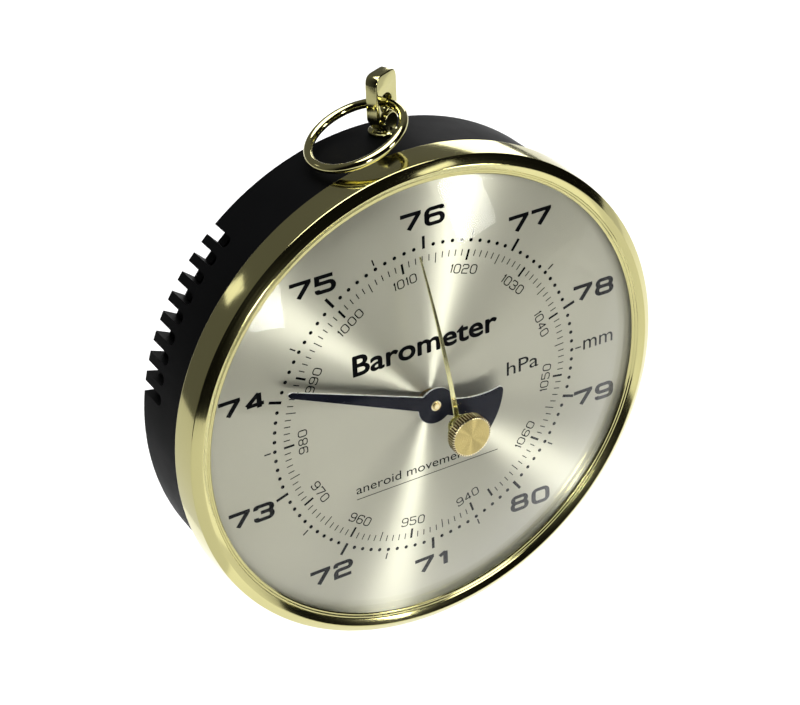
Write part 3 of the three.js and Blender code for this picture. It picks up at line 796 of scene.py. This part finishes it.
def make_washer():
    low, high = WASHER_LOW[1], WASHER_HIGH[1]
    radius = (WASHER_HIGH[0] - WASHER_LOW[0]) / 2
    corners = [(1.3, low, 0.05), (radius, low, 0.12), (radius, high, 0.12), (1.3, high, 0.05)]
    return turned("knob_washer_ring", rounded(corners), 64, TURNED)


def make_set_hand():
    """A thin tapered strip that slopes down from its hub under the dome."""
    low, high = box_mm("set_hand")
    hub_r, thickness, length, bend = 2.6, 0.4, 43.4, 4.5
    hub_back = low[1] + thickness
    drop = (high[1] - hub_back) / (length - bend)
    hub = turned("hub", rounded([
        (1.2, hub_back - thickness, 0.05), (hub_r, hub_back - thickness, 0.1),
        (hub_r, hub_back, 0.1), (1.2, hub_back, 0.05),
    ]), 48, None)
    stations = 60
    verts, faces = [], []
    ring = 8
    for i in range(stations + 1):
        z = 2.2 + (length - 2.2) * i / stations
        along = max(0.0, (z - bend) / (length - bend))
        half = (1.3 + (0.45 - 1.3) * along) / 2
        y = hub_back - thickness / 2 + drop * max(0.0, z - bend) - 1.1 * math.sin(math.pi * along)
        t = thickness / 2 * (1 - 0.25 * along)
        edge = 0.08
        for x, dy in ((-half, t - edge), (-half, edge - t), (edge - half, -t), (half - edge, -t),
                      (half, edge - t), (half, t - edge), (half - edge, t), (edge - half, t)):
            verts.append((x, y + dy, z))
    for i in range(stations):
        for j in range(ring):
            k = (j + 1) % ring
            faces.append([i * ring + j, i * ring + k, (i + 1) * ring + k, (i + 1) * ring + j])
    faces.append(list(range(ring)))
    faces.append([stations * ring + j for j in range(ring)])
    strip = mesh("strip", verts, faces, None)
    boolean(hub, strip, "UNION")
    hub.name = "set_hand_strip"
    finish_mesh(hub, HAND_BRASS, True, 35)
    return turn_about_y(hub, SET_ANGLE)


place(make_knob(), "set_hand_and_knob", "brass", "set_knob")
place(make_washer(), "set_hand_and_knob", "brass", "knob_washer")
place(make_set_hand(), "set_hand_and_knob", "brass", "set_hand")


# ---- pointer ----

POINTER_ANGLE = 292.9


def arc(radius, start, end, x=0.0, z=0.0, steps=10):
    """Points of an arc, with angles in degrees counted from +X towards +Z."""
    out = []
    for i in range(steps + 1):
        a = math.radians(start + (end - start) * i / steps)
        out.append((x + radius * math.cos(a), z + radius * math.sin(a)))
    return out


def bezier(start, control, end, steps=12):
    a, b, c = Vector(start), Vector(control), Vector(end)
    return [tuple(a.lerp(b, i / steps).lerp(b.lerp(c, i / steps), i / steps)) for i in range(steps + 1)]


def make_pointer():
    length, boss, half_root, half_tip = 42.5, 4.9, 1.9, 0.8
    tail_r, half_angle, corner_r = 19.4, 20.5, 1.3
    corner = tail_r - corner_r
    corner_angle = half_angle - math.degrees(math.asin(corner_r / corner))
    cx = corner * math.sin(math.radians(corner_angle))
    cz = -corner * math.cos(math.radians(corner_angle))
    neck = math.degrees(math.acos(half_root / boss))
    waist = math.degrees(math.acos(2.2 / boss))
    right = [(half_tip, length - 1.0)]
    right_boss = arc(boss, neck, -waist)
    flare_end = (cx + corner_r * 0.93, cz + corner_r * 0.38)
    flare = bezier((2.25, right_boss[-1][1] - 0.2), (2.6, -11.8), flare_end)
    tail_corner = arc(corner_r, 20, -90 + corner_angle, cx, cz, 7)
    tail = arc(tail_r, -90 + corner_angle, -90, steps=8)
    side = right + right_boss + flare + tail_corner + tail
    other = [(-x, z) for x, z in reversed(side[:-1])]
    tip = bezier((-half_tip, length - 1.0), (0, length + 1.0), (half_tip, length - 1.0), 8)[1:-1]
    outline = side + other + tip
    piece = plate("pointer_blade", [outline, circle(1.2)], POINTER_LOW[1], POINTER_HIGH[1], POINTER, 0.07, 2)
    piece.data.materials.append(POINTER_EDGE)
    for polygon in piece.data.polygons:
        if abs(polygon.normal.y) < 0.8:
            polygon.material_index = 1
    return turn_about_y(piece, POINTER_ANGLE)


def make_arbor_end():
    """The rounded end of the arbor, standing just proud of the pointer."""
    front = box_mm("pinion_arbor")[0][1]
    corners = [(0, front, 0), (0.9, front, 0.25), (0.9, front + 2.0, 0), (0, front + 2.0, 0)]
    end = turned("arbor_end", rounded(corners), 40, KNOB_BRASS)
    collar_front = POINTER_LOW[1] - 0.12
    collar = turned("collar", rounded([
        (0.95, collar_front, 0.03), (1.35, collar_front, 0.06),
        (1.35, POINTER_HIGH[1], 0), (0.95, POINTER_HIGH[1], 0),
    ]), 40, KNOB_BRASS)
    return join("arbor_end", [end, collar])


place(make_pointer(), "pointer_assembly", "pointer", "pointer")
place(make_arbor_end(), "pointer_assembly", "movement")


# ---- the dial's print ----

PRINT_LIFT = 0.012
PRINT_DEPTH = 0.02


def print_on_dial(name, polygons, material):
    """Flat shapes in X and Z, merged where they overlap, as a thin layer on the dial."""
    points, faces = [], []
    for polygon in polygons:
        area = sum(a[0] * b[1] - b[0] * a[1] for a, b in zip(polygon, polygon[1:] + polygon[:1]))
        ordered = polygon if area > 0 else polygon[::-1]
        faces.append(list(range(len(points), len(points) + len(ordered))))
        points += [Vector(p) for p in ordered]
    flat, _, cells, _, _, sources = delaunay_2d_cdt(points, [], faces, 4, 1e-5)
    cells = [cell for cell, source in zip(cells, sources) if source]
    bm = bmesh.new()
    made = [bm.verts.new((p.x, 0, p.y)) for p in flat]
    for cell in cells:
        bm.faces.new([made[i] for i in cell])
    bmesh.ops.delete(bm, geom=[v for v in bm.verts if not v.link_faces], context="VERTS")
    grown = bmesh.ops.extrude_face_region(bm, geom=bm.faces[:])
    moved = [g for g in grown["geom"] if isinstance(g, bmesh.types.BMVert)]
    bmesh.ops.translate(bm, verts=moved, vec=(0, -PRINT_DEPTH, 0))
    bmesh.ops.translate(bm, verts=bm.verts, vec=(0, DIAL_Y - PRINT_LIFT, 0))
    bmesh.ops.scale(bm, verts=bm.verts, vec=(MM, MM, MM))
    bmesh.ops.recalc_face_normals(bm, faces=bm.faces)
    data = bpy.data.meshes.new(name)
    bm.to_mesh(data)
    bm.free()
    data.materials.append(material)
    piece = bpy.data.objects.new(name, data)
    bpy.context.scene.collection.objects.link(piece)
    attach(piece, "case")
    return piece


def radial_bar(angle, inner, outer, width):
    """A mark along a radius of the dial, with radii in scale units and its width in scale units."""
    a = math.radians(angle)
    out = Vector((math.sin(a), math.cos(a))) * SCALE_R
    side = Vector((math.cos(a), -math.sin(a))) * (SCALE_R * width / 2)
    near, far = out * inner, out * outer
    return [tuple(p) for p in (near - side, near + side, far + side, far - side)]


def dot(radius, angle, size, steps=16):
    x, z = clock(radius * SCALE_R, angle)
    return circle(size * SCALE_R / 2, x, z, steps)


def scale_marks():
    """Centimetre scale of mercury outside, hectopascal scale inside."""
    shapes = []
    for step in range(100):
        angle = step * 3.6
        if step % 10 == 0:
            shapes.append(radial_bar(angle, 0.925, 1.0, 0.017))
        else:
            shapes.append(dot(0.938, angle, 0.022))
        if step % 10 == 5:
            shapes.append(radial_bar(angle, 0.962, 1.0, 0.008))
    for pressure in range(940, 1071):
        angle = (pressure - 1013.25) * 2.7
        if pressure % 10 == 0:
            shapes.append(radial_bar(angle, 0.822, 0.884, 0.013))
        elif pressure % 5 == 0:
            shapes.append(radial_bar(angle, 0.825, 0.884, 0.0055))
        else:
            shapes.append(radial_bar(angle, 0.847, 0.884, 0.0055))
    return shapes


# Each figure is a list of strokes on a unit square. A stroke is (closed, [(x, y, corner)]), where the
# corner is "round", "sharp" or "end".
R, S, E = "round", "sharp", "end"
FIGURES = {
    "0": [(True, [(0, 0, R), (1, 0, R), (1, 1, R), (0, 1, R)])],
    "1": [(False, [(1, 0, E), (1, 1, E)]), (False, [(1, 0.97, E), (0.1, 0.74, E)])],
    "2": [(False, [(0, 0.76, E), (0, 1, R), (1, 1, R), (1, 0.52, R), (0, 0.52, R), (0, 0, S), (1, 0, E)])],
    "3": [(False, [(0, 0.78, E), (0, 1, R), (1, 1, R), (1, 0.52, R), (0.3, 0.52, E)]),
          (False, [(0.3, 0.52, E), (1, 0.52, R), (1, 0, R), (0, 0, R), (0, 0.22, E)])],
    "4": [(False, [(0.76, 0, E), (0.76, 1, E)]), (False, [(0.76, 0.98, E), (0, 0.27, E)]),
          (False, [(0, 0.25, E), (1.04, 0.25, E)])],
    "5": [(False, [(0.97, 1, E), (0, 1, S), (0, 0.58, S), (1, 0.58, R), (1, 0, R), (0, 0, R), (0, 0.2, E)])],
    "6": [(True, [(0, 0, R), (1, 0, R), (1, 0.56, R), (0, 0.56, R)]),
          (False, [(0, 0.3, E), (0, 1, R), (1, 1, R), (1, 0.82, E)])],
    "7": [(False, [(0, 0.86, E), (0, 1, S), (1, 1, S), (1, 0.9, E)]), (False, [(1, 0.93, E), (0.36, 0, E)])],
    "8": [(True, [(0, 0, R), (1, 0, R), (1, 0.52, R), (0, 0.52, R)]),
          (True, [(0.04, 0.52, R), (0.96, 0.52, R), (0.96, 1, R), (0.04, 1, R)])],
    "9": [(True, [(0, 0.44, R), (1, 0.44, R), (1, 1, R), (0, 1, R)]),
          (False, [(1, 0.7, E), (1, 0, R), (0, 0, R), (0, 0.18, E)])],
}


def stroke_samples(points, closed, stem, bar, corner_r):
    """Points along a stroke with the half-width vector to its left at each."""
    samples = []
    count = len(points)
    places = [Vector(p[:2]) for p in points]
    for i, (here, (_, _, kind)) in enumerate(zip(places, points)):
        before = places[i - 1] if closed or i > 0 else None
        after = places[(i + 1) % count] if closed or i < count - 1 else None
        into = (here - before).normalized() if before is not None else (after - here).normalized()
        out = (after - here).normalized() if after is not None else into

        def half(direction):
            left = Vector((-direction.y, direction.x))
            return Vector((left.x * stem / 2, left.y * bar / 2))

        if kind == E or before is None or after is None:
            samples.append((here, half(out)))
            continue
        turn = into.x * out.y - into.y * out.x
        if kind == S:
            samples.append((here + Vector((into.x * stem, into.y * bar)) / 2, half(into)))
            samples.append(None)
            samples.append((here - Vector((out.x * stem, out.y * bar)) / 2, half(out)))
            continue
        r = min(corner_r, (here - before).length * 0.5, (after - here).length * 0.5)
        centre = here - into * r + out * r
        for k in range(9):
            t = math.pi / 2 * k / 8
            ray = into * math.sin(t) - out * math.cos(t)
            left = -ray if turn > 0 else ray
            samples.append((centre + ray * r, Vector((left.x * stem / 2, left.y * bar / 2))))
    if closed:
        samples.append(samples[0])
    return samples


def figure_polygons(figure, width, height, stem, bar, corner_r):
    """The strips that draw one figure in a cell of this size, from (0, 0)."""
    polygons = []
    for closed, points in FIGURES[figure]:
        across, up = width - stem, height - bar
        placed = [(stem / 2 + x * across, bar / 2 + y * up, kind) for x, y, kind in points]
        samples = stroke_samples(placed, closed, stem, bar, corner_r)
        for a, b in zip(samples, samples[1:]):
            if a is None or b is None or (a[0] - b[0]).length < 1e-6:
                continue
            quad = [a[0] + a[1], a[0] - a[1], b[0] - b[1], b[0] + b[1]]
            polygons.append([tuple(p) for p in quad])
    return polygons


def number_polygons(text, height, width, stem, bar, gap, corner_r, one_width):
    """A number centred on (0, 0)."""
    widths = [one_width if c == "1" else width for c in text]
    x = -(sum(widths) + gap * (len(text) - 1)) / 2
    polygons = []
    for c, w in zip(text, widths):
        for polygon in figure_polygons(c, w, height, stem, bar, corner_r):
            polygons.append([(px + x, py - height / 2) for px, py in polygon])
        x += w + gap
    return polygons


def moved(polygons, x, z, turn=0.0):
    """Polygons turned clockwise by an angle in degrees and then moved."""
    a = math.radians(turn)
    c, s = math.cos(a), math.sin(a)
    return [[(px * c + py * s + x, py * c - px * s + z) for px, py in polygon] for polygon in polygons]


# Middles of the centimetre numbers in scale units. The figures stand upright on a slightly flattened ring.
NUMBER_PLACES = {
    76: (0, 1.10), 77: (0.66, 0.90), 78: (1.08, 0.346), 79: (1.09, -0.343), 80: (0.655, -0.909),
    71: (-0.015, -1.094), 72: (-0.65, -0.908), 73: (-1.10, -0.347), 74: (-1.10, 0.346), 75: (-0.655, 0.90),
}


def centimetre_numbers():
    shapes = []
    for number in range(71, 81):
        x, z = NUMBER_PLACES[number]
        polygons = number_polygons(str(number), 4.83, 5.55, 1.3, 0.98, 0.85, 1.15, 3.2)
        shapes += moved(polygons, x * SCALE_R, z * SCALE_R)
    return shapes


def pressure_numbers():
    shapes = []
    for pressure in range(940, 1061, 10):
        angle = (pressure - 1013.25) * 2.7
        x, z = clock(0.771 * SCALE_R, angle)
        outward = 980 <= pressure <= 1040
        polygons = number_polygons(str(pressure), 2.5, 1.95, 0.3, 0.27, 0.42, 0.62, 0.6)
        shapes += moved(polygons, x, z, angle if outward else angle + 180)
    return shapes


def word(name, text, left, baseline, width, cap_height, weight=0.0):
    """Plain lettering in Blender's own font, fitted to a width and a capital's height, in scale units."""
    curve = bpy.data.curves.new(name, "FONT")
    curve.body = text
    curve.resolution_u = 4
    holder = bpy.data.objects.new(name, curve)
    bpy.context.scene.collection.objects.link(holder)
    data = bpy.data.meshes.new_from_object(holder.evaluated_get(bpy.context.evaluated_depsgraph_get()))
    bpy.data.objects.remove(holder)
    bpy.data.curves.remove(curve)
    xs = [v.co.x for v in data.vertices]
    across = (width * SCALE_R - 2 * weight) / (max(xs) - min(xs))
    up = (cap_height * SCALE_R - 2 * weight) / max(v.co.y for v in data.vertices)
    x0, z0 = left * SCALE_R + weight, baseline * SCALE_R + weight
    places = [(x0 + (v.co.x - min(xs)) * across, z0 + v.co.y * up) for v in data.vertices]
    # Bold letters are the plain ones, thickened by copies moved a little each way.
    shifts = circle(weight, steps=8) if weight else [(0, 0)]
    shapes = []
    data.calc_loop_triangles()
    for triangle in data.loop_triangles:
        if triangle.area < 1e-5:
            continue
        corners = [places[i] for i in triangle.vertices]
        shapes += [[(x + dx, z + dz) for x, z in corners] for dx, dz in shifts]
    bpy.data.meshes.remove(data)
    return print_on_dial(name, shapes, INK)


print_on_dial("print_scale", scale_marks(), INK)
print_on_dial("print_centimetres", centimetre_numbers(), INK)
print_on_dial("print_hectopascals", pressure_numbers(), INK)
word("print_barometer", "Barometer", -0.454, 0.290, 0.90, 0.128, 0.2)
word("print_hpa", "hPa", 0.506, -0.026, 0.208, 0.086)
word("print_mm", "mm", 1.016, -0.026, 0.198, 0.062)
word("print_note", "aneroid movement", -0.47, -0.452, 0.72, 0.055)
rule = [(-0.47 * SCALE_R, -0.489 * SCALE_R), (0.44 * SCALE_R, -0.489 * SCALE_R),
        (0.44 * SCALE_R, -0.4845 * SCALE_R), (-0.47 * SCALE_R, -0.4845 * SCALE_R)]
print_on_dial("print_rule", [rule], INK)


# ---- the CAD nodes that stay as they are ----

SLOT_MATERIALS = {
    "movement": WORKS, "steel": STEEL, "capsule": CAPSULE, "rubber": RUBBER, "brass": HAND_BRASS,
}
slots = {part["node"]: part["material_slot"] for part in frame["record"]["subparts"]}
for node, piece in frame["nodes"].items():
    if slots[node] in SLOT_MATERIALS:
        for slot in piece.material_slots:
            slot.material = SLOT_MATERIALS[slots[node]]
